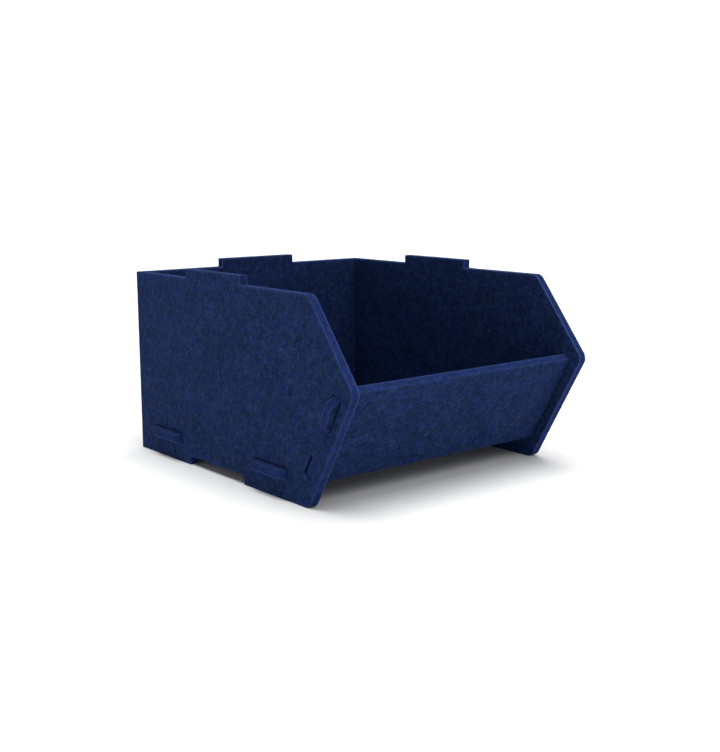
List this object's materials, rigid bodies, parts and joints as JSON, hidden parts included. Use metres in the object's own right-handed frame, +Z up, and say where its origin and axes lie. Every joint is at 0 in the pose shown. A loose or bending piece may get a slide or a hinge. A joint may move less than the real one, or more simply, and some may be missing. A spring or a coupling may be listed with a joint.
{
  "type": "fabric storage bin",
  "caption": "Stackable open-front storage bin of thick felt board, slotted together, with folding side walls and a leaning front panel.",
  "frame": {"origin": "on the table under the middle of the bin's box", "axes": "+Z up, +Y from the open front towards the back wall, +X towards the side wall on the right as seen from the open front"},
  "size_m": [0.314, 0.36, 0.1995],
  "materials": {
    "navy_felt": "matt heather needle felt board, navy with darker and lighter fibres"
  },
  "bodies": {
    "back_and_panels": {"back_wall": "navy_felt", "floor_panel": "navy_felt", "front_panel": "navy_felt"},
    "left_side": {"left_side_wall": "navy_felt"},
    "right_side": {"right_side_wall": "navy_felt"}
  },
  "joints": [
    {"name": "left_side_fold", "type": "hinge", "parent": "back_and_panels", "child": "left_side", "pos_m": [-0.15, 0.18, 0], "axis": [0, 0, -1], "range_deg": [0, 90]},
    {"name": "right_side_fold", "type": "hinge", "parent": "back_and_panels", "child": "right_side", "pos_m": [0.15, 0.18, 0], "axis": [0, 0, 1], "range_deg": [0, 90]}
  ]
}
